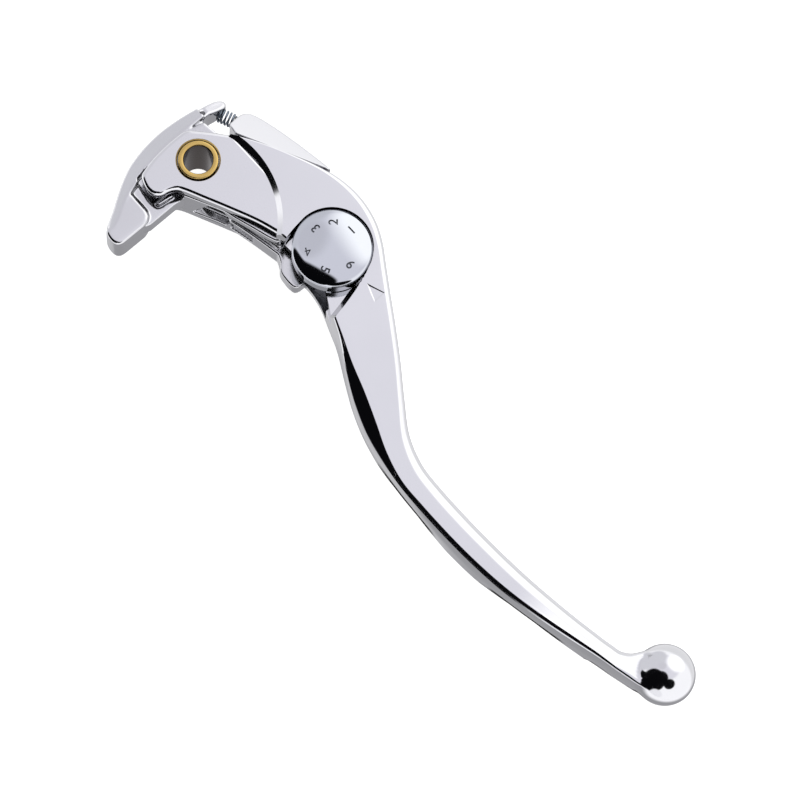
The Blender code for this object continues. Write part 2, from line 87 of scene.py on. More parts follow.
BALL_R = 8.25
BALL_X = BLADE_HIGH.x - BALL_R
HEAD_HALF = BLADE_HIGH.z         # half height of the head round the dial
CHEEK_HALF = HEAD_HALF - 1.3     # half height of the fork that carries the bush
SLOT_HALF = 6.6                  # half height of the fork's slot
RUNNING_GAP = 0.3                # between the knocker and the fork, and round the bush
KNOCKER_HALF = SLOT_HALF - RUNNING_GAP
STEP_CENTRE = (8.4, -16.3)       # arc where the head steps up from the fork
STEP_R = 28.3
BUSH_HALF = BUSH_HIGH.z
BUSH_R = BUSH_HIGH.x
BUSH_BORE_R = BUSH_R - 1.5
BUSH_CHAMFER = 0.35
DIAL_R = (DIAL_HIGH.x - DIAL_LOW.x) / 2
CROWN_R = DIAL_R + 0.15          # the dial's crown stands a little over the CAD's rim
RECESS = (DIAL[0] - 0.1, DIAL[1])
RECESS_R = DIAL_R + 0.35
RECESS_FLOOR = DIAL_LOW.z - 0.3
DIGIT_ANGLES = (90, 136, 180, 240, 300, 360)   # where 1 to 6 stand on the dial, in degrees
DETENT_ANGLE = radians(60)       # where the ball's bore is, with the dial at rest
DETENT_RADIUS = 7.4
DETENT_BORE_R = 1.5
DIMPLE_R = 1.45
DIMPLE_DEPTH = 0.7
SHAFT_BORE_R = 3.3
CLIP_POCKET_R = 6.2
CLIP_POCKET_DEPTH = 1.9
CHAMBER_TOP = 2.4                # the cam chamber under the recess floor
CHAMBER_R = 10.4
SPRING_MID = (-6.4, 16.1)
SPRING_AXIS = radians(23)
SPRING_LENGTH = 4.9
SPRING_SEAT = SPRING_LENGTH / 2 + 0.3   # from the spring's middle to the bottom of each seat
WELD_DISTANCE = 0.000002         # metres


# ---------------------------------------------------------------- mesh tools

def smooth_run(points, spacing=0.8):
    """An open centripetal Catmull-Rom run through the points, at about even spacing."""
    p = np.array(points, float)
    p = np.vstack([2 * p[0] - p[1], p, 2 * p[-1] - p[-2]])
    out = []
    for i in range(1, len(p) - 2):
        p0, p1, p2, p3 = p[i - 1:i + 3]
        t1 = np.linalg.norm(p1 - p0) ** 0.5
        t2 = t1 + np.linalg.norm(p2 - p1) ** 0.5
        t3 = t2 + np.linalg.norm(p3 - p2) ** 0.5
        count = max(2, int(np.linalg.norm(p2 - p1) / spacing))
        for t in np.linspace(t1, t2, count, endpoint=False):
            a1 = (t1 - t) / t1 * p0 + t / t1 * p1
            a2 = (t2 - t) / (t2 - t1) * p1 + (t - t1) / (t2 - t1) * p2
            a3 = (t3 - t) / (t3 - t2) * p2 + (t - t2) / (t3 - t2) * p3
            b1 = (t2 - t) / t2 * a1 + t / t2 * a2
            b2 = (t3 - t) / (t3 - t1) * a2 + (t - t1) / (t3 - t1) * a3
            out.append((t2 - t) / (t2 - t1) * b1 + (t - t1) / (t2 - t1) * b2)
    out.append(p[-2])
    return [tuple(q) for q in out]


def outline(*runs):
    """A closed outline from smooth runs, and straight ones of two points, that meet at corners."""
    points = []
    for run in runs:
        points += smooth_run(run)[:-1] if len(run) > 2 else [run[0]]
    return points


def arc(centre, radius, start, end, steps):
    """Points along an arc, angles in degrees."""
    angles = np.radians(np.linspace(start, end, steps + 1))
    return [(centre[0] + radius * cos(a), centre[1] + radius * sin(a)) for a in angles]


def grown(points, distance):
    """The outline moved outwards, or inwards when the distance is negative."""
    p = np.array(points, float)
    before = p - np.roll(p, 1, axis=0)
    after = np.roll(p, -1, axis=0) - p
    before /= np.linalg.norm(before, axis=1)[:, None]
    after /= np.linalg.norm(after, axis=1)[:, None]
    normal = np.stack([before[:, 1] + after[:, 1], -before[:, 0] - after[:, 0]], 1)
    length = np.linalg.norm(normal, axis=1)[:, None]
    normal /= length
    area = np.sum(p[:, 0] * np.roll(p[:, 1], -1) - np.roll(p[:, 0], -1) * p[:, 1])
    reach = np.minimum(2 / length, 2.0) * np.sign(area)
    return p + normal * reach * distance


def new_object(name, data):
    obj = bpy.data.objects.new(name, data)
    bpy.context.scene.collection.objects.link(obj)
    return obj


def from_rings(name, rings, closed_ends=True):
    """A tube of quads through rings of points, in millimetres, with its ends filled."""
    mesh = bpy.data.meshes.new(name)
    edit = bmesh.new()
    rows = [[edit.verts.new(Vector(p) * MM) for p in ring] for ring in rings]
    sides = len(rows[0])
    for first, second in zip(rows, rows[1:]):
        for i in range(sides):
            j = (i + 1) % sides
            edit.faces.new((first[i], first[j], second[j], second[i]))
    if closed_ends:
        edit.faces.new(list(reversed(rows[0])))
        edit.faces.new(rows[-1])
    bmesh.ops.recalc_face_normals(edit, faces=edit.faces)
    edit.to_mesh(mesh)
    edit.free()
    return new_object(name, mesh)


def slab(name, points, low, high, rounding=0.0, steps=4):
    """A plate between two heights, with its edges rounded off."""
    rings = []

    def ring(offset, z):
        shape = grown(points, offset) if offset else np.array(points, float)
        rings.append([(x, y, z) for x, y in shape])

    if rounding:
        for angle in np.linspace(0, pi / 2, steps + 1):
            ring(-rounding * (1 - sin(angle)), low + rounding * (1 - cos(angle)))
        for angle in np.linspace(pi / 2, 0, steps + 1):
            ring(-rounding * (1 - sin(angle)), high - rounding * (1 - cos(angle)))
    else:
        ring(0, low)
        ring(0, high)
    return from_rings(name, rings)


def rod(name, start, end, radius, sides=64):
    """A round bar or cutter between two points."""
    start, end = Vector(start), Vector(end)
    turn = (end - start).to_track_quat("Z", "Y").to_matrix()
    rings = []
    for along in (0.0, (end - start).length):
        rings.append([start + turn @ Vector((radius * cos(a), radius * sin(a), along))
                      for a in np.linspace(0, tau, sides, endpoint=False)])
    return from_rings(name, rings)


def turned(name, profile, steps=96, centre=(0, 0)):
    """A body turned about Z from an (r, z) profile that runs from the axis round to the axis."""
    rings = []
    for r, z in profile:
        r = max(r, 0.001)
        rings.append([(centre[0] + r * cos(a), centre[1] + r * sin(a), z)
                      for a in np.linspace(0, tau, steps, endpoint=False)])
    return from_rings(name, rings)


def turned_ring(name, profile, steps):
    """A ring turned about Z from a closed (r, z) profile."""
    rings = []
    for a in np.linspace(0, tau, steps, endpoint=False):
        rings.append([(r * cos(a), r * sin(a), z) for r, z in profile])
    rings.append(rings[0])
    obj = from_rings(name, rings, closed_ends=False)
    weld(obj.data)
    return obj


def weld(mesh):
    """Merges the doubled points and the slivers that a boolean leaves."""
    edit = bmesh.new()
    edit.from_mesh(mesh)
    bmesh.ops.remove_doubles(edit, verts=edit.verts, dist=WELD_DISTANCE)
    bmesh.ops.dissolve_degenerate(edit, edges=edit.edges, dist=WELD_DISTANCE)
    bmesh.ops.recalc_face_normals(edit, faces=edit.faces)
    edit.to_mesh(mesh)
    edit.free()


def apply_modifiers(obj):
    """Puts the result of an object's modifiers in its mesh."""
    graph = bpy.context.evaluated_depsgraph_get()
    mesh = bpy.data.meshes.new_from_object(obj.evaluated_get(graph))
    obj.modifiers.clear()
    obj.data = mesh
    return obj


def join(obj, others, operation):
    """Joins the others to obj, or cuts them out of it, one at a time, and removes them."""
    for other in others:
        modifier = obj.modifiers.new("Boolean", "BOOLEAN")
        modifier.operation = operation
        modifier.solver = "EXACT"
        modifier.object = other
        apply_modifiers(obj)
        weld(obj.data)
        bpy.data.objects.remove(other)
    return obj


def remesh(obj, voxel, relax=0):
    """Rebuilds a mesh as one skin, and relaxes it so that its edges become soft, like a casting's."""
    skin = obj.modifiers.new("Remesh", "REMESH")
    skin.mode = "VOXEL"
    skin.voxel_size = voxel * MM
    apply_modifiers(obj)
    if relax:
        smooth = obj.modifiers.new("Smooth", "SMOOTH")
        smooth.factor = 0.5
        smooth.iterations = relax
        apply_modifiers(obj)
    return obj


def soften(obj, angle):
    """Smooth shading that keeps flat faces flat and real edges sharp."""
    obj.data.shade_smooth()
    obj.data.set_sharp_from_angle(angle=radians(angle))
    normals = obj.modifiers.new("WeightedNormal", "WEIGHTED_NORMAL")
    normals.keep_sharp = True
    normals.weight = 80
    return obj


def dress(obj, material, body, slot, *nodes):
    """Gives a piece its material, its body and the CAD nodes it stands for. The slot is not used."""
    if not obj.data.materials:
        obj.data.materials.append(material)
    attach(obj, body)
    if nodes:
        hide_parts(*nodes)
    return obj


# ---------------------------------------------------------------- materials

def metal(name, colour, roughness, bump=0.02, grain=900.0, streak=1.0, variation=0.03):
    """Bare metal: a fine surface grain, polishing streaks along X, and slow changes of tone."""
    material = bpy.data.materials.new(name)
    material.use_nodes = True
    nodes, links = material.node_tree.nodes, material.node_tree.links
    shader = nodes["Principled BSDF"]
    shader.inputs["Metallic"].default_value = 1.0
    place = nodes.new("ShaderNodeTexCoord")
    stretch = nodes.new("ShaderNodeMapping")
    stretch.inputs["Scale"].default_value = (1.0 / streak, 1.0, 1.0)
    links.new(place.outputs["Object"], stretch.inputs["Vector"])

    slow = nodes.new("ShaderNodeTexNoise")
    slow.inputs["Scale"].default_value = 55.0
    slow.inputs["Detail"].default_value = 3.0
    links.new(place.outputs["Object"], slow.inputs["Vector"])
    fine = nodes.new("ShaderNodeTexNoise")
    fine.inputs["Scale"].default_value = grain
    fine.inputs["Detail"].default_value = 4.0
    fine.inputs["Roughness"].default_value = 0.6
    links.new(stretch.outputs["Vector"], fine.inputs["Vector"])

    tone = nodes.new("ShaderNodeMix")
    tone.data_type = "RGBA"
    tone.inputs["A"].default_value = (*[c * (1 - variation) for c in colour], 1)
    tone.inputs["B"].default_value = (*[min(1, c * (1 + variation)) for c in colour], 1)
    links.new(slow.outputs["Fac"], tone.inputs["Factor"])
    links.new(tone.outputs["Result"], shader.inputs["Base Color"])

    spread = nodes.new("ShaderNodeMapRange")
    spread.inputs["To Min"].default_value = roughness * 0.8
    spread.inputs["To Max"].default_value = roughness * 1.25
    links.new(fine.outputs["Fac"], spread.inputs["Value"])
    links.new(spread.outputs["Result"], shader.inputs["Roughness"])

    relief = nodes.new("ShaderNodeBump")
    relief.inputs["Strength"].default_value = bump
    relief.inputs["Distance"].default_value = 0.0001
    links.new(fine.outputs["Fac"], relief.inputs["Height"])
    links.new(relief.outputs["Normal"], shader.inputs["Normal"])
    return material


def bush_metal():
    """Sintered bronze: the turned ends are bright, and the bore is painted near black brown, as painted
    shade inside it.
    """
    material = metal("bush_bronze", (0.52, 0.36, 0.12), 0.20, 0.03, 2500, 1.0, 0.06)
    nodes, links = material.node_tree.nodes, material.node_tree.links
    shader = nodes["Principled BSDF"]
    bright = shader.inputs["Base Color"].links[0].from_socket
    place = nodes.new("ShaderNodeTexCoord")
    flat = nodes.new("ShaderNodeVectorMath")
    flat.operation = "MULTIPLY"
    flat.inputs[1].default_value = (1, 1, 0)
    links.new(place.outputs["Object"], flat.inputs[0])
    radius = nodes.new("ShaderNodeVectorMath")
    radius.operation = "LENGTH"
    links.new(flat.outputs["Vector"], radius.inputs[0])
    # Painted shade: the base colour turns near black brown inside the bore's radius, standing for the shade
    # in the bore.
    inside = nodes.new("ShaderNodeMapRange")
    inside.inputs["From Min"].default_value = (BUSH_BORE_R + 0.05) * MM
    inside.inputs["From Max"].default_value = (BUSH_BORE_R + 0.25) * MM
    links.new(radius.outputs["Value"], inside.inputs["Value"])
    mix = nodes.new("ShaderNodeMix")
    mix.data_type = "RGBA"
    mix.inputs["A"].default_value = (0.035, 0.016, 0.006, 1)
    links.new(inside.outputs["Result"], mix.inputs["Factor"])
    links.new(bright, mix.inputs["B"])
    links.new(mix.outputs["Result"], shader.inputs["Base Color"])
    return material


def moulded_rubber():
    """Black nitrile rubber: it reflects like any dull plastic and shows the grain of its mould."""
    material = metal("nitrile_rubber", (0.022, 0.022, 0.024), 0.50, 0.15, 2600, 1.0, 0.25)
    material.node_tree.nodes["Principled BSDF"].inputs["Metallic"].default_value = 0.0
    return material


# ---------------------------------------------------------------- lever blade

# Stations along the head and grip. Each is x, the rear side's y, the y of the top face's rear edge,
# the rear bevel's width, the front side's y, the half height and the front round's radius.
STATIONS = np.array((
    (0.4, -14.0, -13.0, 0.3, 11.4, 11.0, 0.5),
    (9.0, -10.0, -9.0, 0.3, 16.6, 11.0, 0.5),
    (17.0, -8.0, -7.0, 0.3, 20.6, 11.0, 0.7),
    (25.0, -4.0, -3.5, 0.3, 24.1, 11.0, 1.2),
    (31.0, 2.3, 2.9, 0.4, 25.7, 11.0, 1.6),
    (36.0, 2.2, 2.8, 0.4, 26.1, 11.0, 1.8),
    (41.0, 2.0, 2.6, 0.4, 25.6, 11.0, 1.9),
    (46.0, 1.5, 2.3, 0.4, 24.2, 11.0, 2.0),
    (50.0, 0.4, 1.2, 0.5, 22.2, 11.0, 2.0),
    (56.0, -2.3, -1.2, 0.6, 18.2, 11.0, 2.0),
    (62.0, -5.0, -3.7, 0.8, 14.2, 10.8, 2.0),
    (70.0, -9.4, -7.1, 2.0, 9.0, 10.1, 2.1),
    (78.0, -13.5, -9.8, 3.3, 3.6, 8.9, 2.2),
    (86.0, -16.5, -12.9, 3.2, -2.2, 7.8, 2.4),
    (94.0, -18.3, -16.2, 1.8, -7.6, 7.0, 2.8),
    (102.0, -19.3, -18.3, 0.95, -10.4, 6.5, 3.2),
    (111.0, -19.8, -18.75, 0.9, -11.1, 6.2, 3.5),
    (121.0, -20.0, -18.75, 0.9, -11.1, 6.0, 3.6),
    (131.0, -19.6, -18.35, 0.9, -10.8, 6.0, 3.6),
    (142.0, -18.3, -17.25, 0.9, -10.1, 6.0, 3.6),
    (154.0, -16.0, -14.95, 0.85, -8.7, 5.9, 3.5),
    (166.0, -13.1, -12.0, 0.75, -6.8, 5.7, 3.4),
    (172.0, -11.5, -10.5, 0.6, -5.6, 5.5, 3.4),
    (175.5, -10.6, -9.8, 0.5, -4.5, 5.4, 3.4),
    (177.4, -10.1, -9.4, 0.5, -2.7, 5.3, 3.4),
    (179.0, -9.7, -9.0, 0.5, 0.3, 5.2, 3.4),
    (181.0, -9.2, -8.5, 0.5, 3.0, 5.1, 3.3),
    (185.0, -8.2, -7.5, 0.4, 4.4, 4.8, 3.3),
    (189.0, -6.4, -5.7, 0.3, 4.0, 3.9, 2.9),
    (192.5, -3.6, -3.0, 0.3, 2.4, 2.3, 1.8),
    (194.6, -1.2, -0.9, 0.1, 0.9, 0.9, 0.6),
))


def along_stations(x):
    """The section's sizes at x, on a smooth curve through the stations."""
    xs = STATIONS[:, 0]
    slopes = np.gradient(STATIONS[:, 1:], xs, axis=0)
    i = int(np.clip(np.searchsorted(xs, x) - 1, 0, len(xs) - 2))
    h = xs[i + 1] - xs[i]
    t = (x - xs[i]) / h
    a, b = STATIONS[i, 1:], STATIONS[i + 1, 1:]
    chord = (b - a) / h
    ma = np.where(slopes[i] * chord > 0, slopes[i], slopes[i] * 0.6)
    mb = np.where(slopes[i + 1] * chord > 0, slopes[i + 1], slopes[i + 1] * 0.6)
    return ((2 * t ** 3 - 3 * t ** 2 + 1) * a + (t ** 3 - 2 * t ** 2 + t) * h * ma
            + (3 * t ** 2 - 2 * t ** 3) * b + (t ** 3 - t ** 2) * h * mb)


def plateau(x, start, full, fade, end):
    """Rises from 0 at start to 1 at full, and falls again from fade to end."""
    return max(0.0, min(1.0, (x - start) / (full - start), (end - x) / (end - fade)))


def rear_lean(x, z, shoulder_z):
    """How far the rear wall is drawn in below the shoulder, and undercut further near its foot."""
    draft = 0.055 * plateau(x, 44.0, 60.0, 90.0, 112.0)
    undercut = (0.125 - draft) * plateau(x, 92.0, 102.0, 111.0, 123.0)
    undercut += 0.16 * plateau(x, 134.0, 145.0, 153.0, 170.0)
    return draft * (shoulder_z - z) + undercut * max(0.0, -z)


def blade_section(x):
    """One half of the section, from the middle of the rear side over the top to the front."""
    rear, top_edge, bevel, front, half, round_r = along_stations(x)
    fall = 0.09 * min(1.0, max(0.0, (x - 143.0) / 14.0))
    drop = 0.62 * bevel
    shoulder_y = top_edge - bevel
    shoulder_z = half - drop
    bulge = shoulder_y - rear
    points = [(rear + bulge * t ** 2.2, shoulder_z * t) for t in (0.0, 0.25, 0.5, 0.7, 0.85, 0.95)]
    edge = min(0.35, bevel * 0.4)
    slope = Vector((bevel, drop)).normalized()
    for t in (0.0, 0.5, 1.0):
        y = shoulder_y + slope.x * edge * t
        z = shoulder_z - edge * 0.35 * (1 - t) + slope.y * edge * t
        points.append((y, z))
    for t in (0.3, 0.5, 0.7):
        sag = 0.02 * bevel * 4 * t * (1 - t)
        points.append((shoulder_y + bevel * t + sag * slope.y, shoulder_z + drop * t - sag * slope.x))
    for t in (0.0, 0.5, 1.0):
        back = edge * (1 - t)
        points.append((top_edge - slope.x * back + edge * t, half - slope.y * back * (1 - t * 0.3)))
    for t in (0.08, 0.2, 0.32, 0.44, 0.56, 0.68, 0.8, 0.92):
        y = top_edge + edge + (front - round_r - top_edge - edge) * t
        points.append((y, half - fall * (y - top_edge)))
    low = fall * (front - round_r - top_edge)
    for angle in np.radians(np.linspace(90, 0, 13)):
        points.append((front - round_r + round_r * cos(angle), half - low - round_r + round_r * sin(angle)))
    for t in (0.7, 0.35):
        points.append((front, (half - round_r) * t))
    points.append((front, 0.0))
    return points


WALL_POINTS = (0, 1, 2, 3, 4, 5) + tuple(range(-14, 0))   # a section's points on the rear wall
FLAT_WALL_END = 170.0            # the lower rear wall is flat up to here, before the ball's neck
BALL_FROM = 176.0                # sections past here are pushed out to the ball
BALL_BLEND = 1.1                 # width of the soft neck between the grip and the ball


def with_ball(x, points):
    """Pushes a section out to the ball end where the ball is larger, with a soft neck between."""
    reach = BALL_R ** 2 - (x - BALL_X) ** 2
    ball = sqrt(reach) if reach > 0 else 0.0
    rear, _, _, front, _, _ = along_stations(x)
    centre = (rear + front) / 2
    if abs(centre) >= ball:
        centre = float(np.clip(centre, -ball * 0.7, ball * 0.7)) if ball else centre
    out = []
    for y, z in points:
        dy, dz = y - centre, z
        r = sqrt(dy * dy + dz * dz) + 1e-9
        dy, dz = dy / r, dz / r
        b = centre * dy
        root = b * b - centre * centre + ball * ball
        far = max(0.0, -b + sqrt(root)) if root > 0 and ball else 0.0
        gap = max(BALL_BLEND - abs(r - far), 0.0) / BALL_BLEND
        size = max(r, far) + gap * gap * BALL_BLEND / 4
        if far <= 0.0:
            size = r
        out.append((centre + dy * size, dz * size))
    return out


def blade_body():
    """The head, grip and ball end as one loft."""
    xs = list(np.arange(0.4, 172.0, 1.0)) + list(np.arange(172.0, 181.0, 0.35))
    first = xs[-1] + 0.35
    start = np.arcsin(np.clip((first - BALL_X) / BALL_R, -1, 1))
    xs += [BALL_X + BALL_R * sin(a) for a in np.linspace(start, radians(86), 40)]
    rings = []
    for x in xs:
        upper = blade_section(x)
        if x > BALL_FROM:
            upper = with_ball(x, upper)
        lower = [(y, -z) for y, z in reversed(upper[1:-1])]
        shoulder_z = upper[5][1]
        ring = [(x, y, z) for y, z in upper + lower]
        for i in WALL_POINTS:
            y, z = ring[i][1:]
            if x < FLAT_WALL_END and -shoulder_z < z < 0.0:
                y = upper[0][0]
            ring[i] = (x, y + rear_lean(x, max(z, -shoulder_z), shoulder_z), z)
        rings.append(ring)
    return from_rings("lever_blade", rings)


def step_cutter():
    """A drum with flared ends that leaves a sloping wall where the head steps down to the fork."""
    low, high = (STEP_R - 0.2, CHEEK_HALF), (STEP_R + 1.2, HEAD_HALF)
    flare = (high[0] + 3 * (high[0] - low[0]), high[1] + 3 * (high[1] - low[1]))
    profile = [(0, flare[1]), flare, low, (low[0], -low[1]), (flare[0], -flare[1]), (0, -flare[1])]
    return turned("step", profile, 256, STEP_CENTRE)


def cheek_outline():
    """The fork's two ears, seen from above."""
    rear = ((1.2, -12.2), (1.6, -11.0), (2.5, -9.7), (3.9, -8.75), (6.0, -7.7), (9.0, -6.3), (16.0, -3.0),
            (24.0, 0.5), (31.0, 2.75))
    toe = ((-7.3, -13.6), (-6.7, -14.5), (-5.2, -15.3), (-2.6, -15.9), (-0.6, -15.5), (0.7, -14.2),
           (1.05, -13.1), (1.2, -12.2))
    side = ((-8.0, 4.1), (-8.8, 2.6), (-9.0, -0.5), (-8.9, -4.5), (-8.4, -9.0), (-7.3, -13.6))
    top = ((1.0, 12.0), (-3.2, 8.5), (-8.0, 4.1))
    return outline(toe, rear, ((31.0, 2.75), (34.0, 6.0)), ((34.0, 6.0), (34.0, 12.0)),
                   ((34.0, 12.0), (1.0, 12.0)), top, side)


HUMP_SLOPE = 0.62                # fall of the hump's facet for each millimetre away from its ridge


def hump():
    """The shoulder under the take-up spring: a flat facet that falls away from the head's ridge."""
    ridge = smooth_run(((1.2, 12.4), (9.0, 16.4), (17.0, 20.3), (25.0, 24.2)), 2.0)
    edge = smooth_run(((-2.3, 13.2), (-3.0, 18.4), (-2.2, 20.1), (-0.4, 21.2), (5.0, 22.6), (13.0, 23.9),
                       (21.0, 24.8), (26.0, 25.2)), 1.0)
    start, end = Vector(ridge[0]), Vector(ridge[-1])
    along = (end - start).normalized()
    top = HEAD_HALF - 0.05
    mesh = bpy.data.meshes.new("hump")
    edit = bmesh.new()
    for side in (-1, 1):
        for x, y in (ridge[0], ridge[-1]):
            edit.verts.new(Vector((x, y, side * top)) * MM)
        for x, y in edge:
            away = abs(along.cross(Vector((x, y)) - start))
            edit.verts.new(Vector((x, y, side * (top - HUMP_SLOPE * away))) * MM)
            edit.verts.new(Vector((x, y, side * 3.0)) * MM)
    hull = bmesh.ops.convex_hull(edit, input=edit.verts)
    bmesh.ops.delete(edit, geom=list(set(hull["geom_interior"])), context="VERTS")
    bmesh.ops.dissolve_limit(edit, angle_limit=radians(1.5), verts=edit.verts, edges=edit.edges)
    bmesh.ops.recalc_face_normals(edit, faces=edit.faces)
    edit.to_mesh(mesh)
    edit.free()
    obj = new_object("hump", mesh)
    bevel = obj.modifiers.new("Bevel", "BEVEL")
    bevel.width = 0.6 * MM
    bevel.segments = 4
    bevel.limit_method = "ANGLE"
    bevel.angle_limit = radians(20)
    return apply_modifiers(obj)


def recess_cutter():
    """The dial's round recess with its open tail, whose right wall slopes out towards the top."""
    cx, cy = RECESS
    rim = arc(RECESS, RECESS_R, 20, 183, 64)
    left = [(cx - RECESS_R + 0.1, cy - 1.2), (cx - RECESS_R + 0.5, cy - 4.5),
            (cx - RECESS_R + 1.2, cy - 8.0), (cx - RECESS_R + 1.6, cy - 14.0)]
    right = smooth_run(((58.6, -6.0), (57.6, -1.2), (57.0, 2.0), (56.2, 5.5), (55.4, 8.5), (54.6, 11.2),
                        (cx + RECESS_R * cos(radians(20)), cy + RECESS_R * sin(radians(20)))), 1.0)
    top = rim[:-1] + left + [(59.5, -14.0)] + right[:-1]
    tail = len(rim) - 1 + len(left)
    floor = list(top)
    for i in range(tail, len(top)):
        x, y = top[i]
        share = min(1.0, max(0.0, (cy + 1.5 - y) / 4.0))
        floor[i] = (x - 2.0 * share, y - 0.3 * share)
    lift = [(f[0] + (t[0] - f[0]) * 1.35, f[1] + (t[1] - f[1]) * 1.35) for f, t in zip(floor, top)]
    reach = HEAD_HALF + 0.35 * (HEAD_HALF - RECESS_FLOOR)
    rings = [[(x, y, RECESS_FLOOR) for x, y in floor], [(x, y, reach) for x, y in lift]]
    return from_rings("dial_recess", rings)


def tail_notch():
    """Sets the plate under the dial back, so that the cam chamber's mouth shows below it."""
    points = [(32.4, 2.6), (40.0, 3.0), (48.0, 3.2), (56.6, -1.9), (57.6, -8.0), (32.4, -8.0)]
    return slab("tail_notch", points, CHAMBER_TOP - 1.0, RECESS_FLOOR + 0.4)


def chamber_outline():
    """The cam chamber, open to the rear for the knocker's tail."""
    cx, cy = DIAL
    return arc(DIAL, CHAMBER_R, 0, 180, 48) + [(30.0, cy - 4.0), (30.0, -12.0), (cx + CHAMBER_R, -12.0)]


def fork_outline():
    """The slot between the fork's ears, open to the rear."""
    return [(-25.0, -40.0), (32.5, -40.0), (32.5, 7.8), (22.0, 8.4), (12.0, 10.4), (4.0, 12.4),
            (-1.4, 13.2), (-2.7, 13.3), (-4.0, 30.0), (-25.0, 30.0)]


def bush_bore():
    """The bore through both cheeks, with a small chamfer at each mouth."""
    r, c = BUSH_R + RUNNING_GAP, BUSH_CHAMFER
    profile = [(0, CHEEK_HALF + 2), (r + c + 2, CHEEK_HALF + 2), (r, CHEEK_HALF - c),
               (r, c - CHEEK_HALF), (r + c + 2, -CHEEK_HALF - 2), (0, -CHEEK_HALF - 2)]
    return turned("bush_bore", profile, 96)


def spring_point(along):
    """A point on the take-up spring's axis, from its middle."""
    return (SPRING_MID[0] + along * cos(SPRING_AXIS), SPRING_MID[1] + along * sin(SPRING_AXIS), 0.0)


def index_mark():
    """The sunk triangle that the dial's numbers are read against, with sloping sides."""
    cx, cy = DIAL
    points = [(cx + 13.6, cy + 0.1), (cx + 19.2, cy - 2.3), (cx + 19.0, cy + 2.4)]
    rings = [[(x, y, HEAD_HALF + rise) for x, y in grown(points, rise * 1.7)] for rise in (-0.3, 0.3)]
    return from_rings("index_mark", rings)


def dimples():
    """The six hollows in the recess floor that the detent ball clicks into."""
    made = []
    for angle in DIGIT_ANGLES:
        a = DETENT_ANGLE - radians(angle)
        x, y = DIAL[0] + DETENT_RADIUS * cos(a), DIAL[1] + DETENT_RADIUS * sin(a)
        bottom, mouth = (x, y, RECESS_FLOOR - DIMPLE_DEPTH), (x, y, RECESS_FLOOR + 1.0)
        made.append(rod("dimple", bottom, mouth, DIMPLE_R, 32))
    return made


def make_blade(material):
    blade = blade_body()
    join(blade, [step_cutter()], "DIFFERENCE")
    cheeks = slab("cheeks", cheek_outline(), -CHEEK_HALF, CHEEK_HALF, 1.1, steps=5)
    join(blade, [cheeks, hump()], "UNION")
    cutters = [
        slab("fork_slot", fork_outline(), -SLOT_HALF, SLOT_HALF),
        recess_cutter(),
        tail_notch(),
        slab("cam_chamber", chamber_outline(), -SLOT_HALF + 0.01, CHAMBER_TOP),
        bush_bore(),
        rod("shaft_bore", (*DIAL, -20), (*DIAL, 20), SHAFT_BORE_R, 48),
        rod("clip_pocket", (*DIAL, -20), (*DIAL, -HEAD_HALF + CLIP_POCKET_DEPTH), CLIP_POCKET_R, 64),
        rod("spring_seat", spring_point(SPRING_SEAT - 4), spring_point(SPRING_SEAT), 2.7, 48),
        index_mark(),
    ]
    join(blade, cutters + dimples(), "DIFFERENCE")
    soften(blade, 24)
    return dress(blade, material, "lever", "polished_casting", "lever_blade")


# ---------------------------------------------------------------- knocker

NECK_LOW, NECK_TOP = -1.8, 4.3   # the neck between the hub and the nose
RIM_HALF = 4.0                   # half height left under the rim's long chamfer
NOSE_HALF = 5.8
NOSE_ROUND = 0.8
TROUGH_FLOOR = 2.8
JOINING_VOXEL = 0.2              # skins the joined bodies, before the pockets are cut
CASTING_VOXEL = 0.22             # skins the finished casting, and relaxes it
CASTING_RELAX = 6


def knocker_rim():
    """The outer edge of the hub and nose, with a long chamfer above and below."""
    ridge = smooth_run(((-10.2, 10.4), (-10.3, 4.0), (-10.2, -2.0), (-9.7, -8.0), (-8.6, -13.4),
                        (-7.2, -18.0), (-6.0, -21.6), (-3.2, -26.6), (-1.7, -30.2)), 0.8)
    edge = smooth_run(((-12.9, 10.8), (-13.8, 5.0), (-14.2, -1.0), (-13.8, -7.0), (-12.4, -13.4),
                       (-10.6, -17.6), (-8.2, -21.8), (-5.3, -26.4), (-3.2, -30.2)), 0.8)
    t = np.linspace(0, 1, 90)

    def resampled(run):
        p = np.array(run)
        s = np.concatenate([[0], np.cumsum(np.linalg.norm(np.diff(p, axis=0), axis=1))])
        return np.stack([np.interp(t * s[-1], s, p[:, k]) for k in (0, 1)], 1)

    rings = []
    for (rx, ry), (ex, ey) in zip(resampled(ridge), resampled(edge)):
        top = float(np.interp(ry, (-22.0, -10.0), (NOSE_HALF, KNOCKER_HALF)))
        low = min(RIM_HALF, top - 0.6)
        ring = [(rx + 1.0, ry, top), (rx + 0.5, ry, top), (rx + 0.2, ry, top - 0.06)]
        for k in (0.1, 0.5, 0.9):
            ring.append((rx + (ex - rx) * k, ry + (ey - ry) * k, top + (low + 0.3 - top) * k ** 1.1))
        ring += [(ex, ey, low - 0.2), (ex - 0.05, ey, low - 1.2)]
        rings.append(ring + [(x, y, -z) for x, y, z in reversed(ring)])
    return from_rings("knocker_rim", rings)


def knocker_inner():
    """The hub's side towards the fork's root, from the arm back to the lug."""
    return [(30.0, 6.4), (20.0, 7.2), (12.0, 8.6), (6.0, 9.6), (0.0, 10.2), (-5.0, 9.6), (-8.0, 9.2)]


ARM_REAR = ((3.2, -9.5), (9.0, -6.5), (15.0, -3.6), (18.0, -2.8), (24.0, -1.4), (32.4, 0.3))
TAB = ((32.4, 0.3), (34.4, -0.6), (36.2, -2.2), (37.6, -2.7), (42.0, -2.7), (42.9, -2.0), (43.3, 0.6))


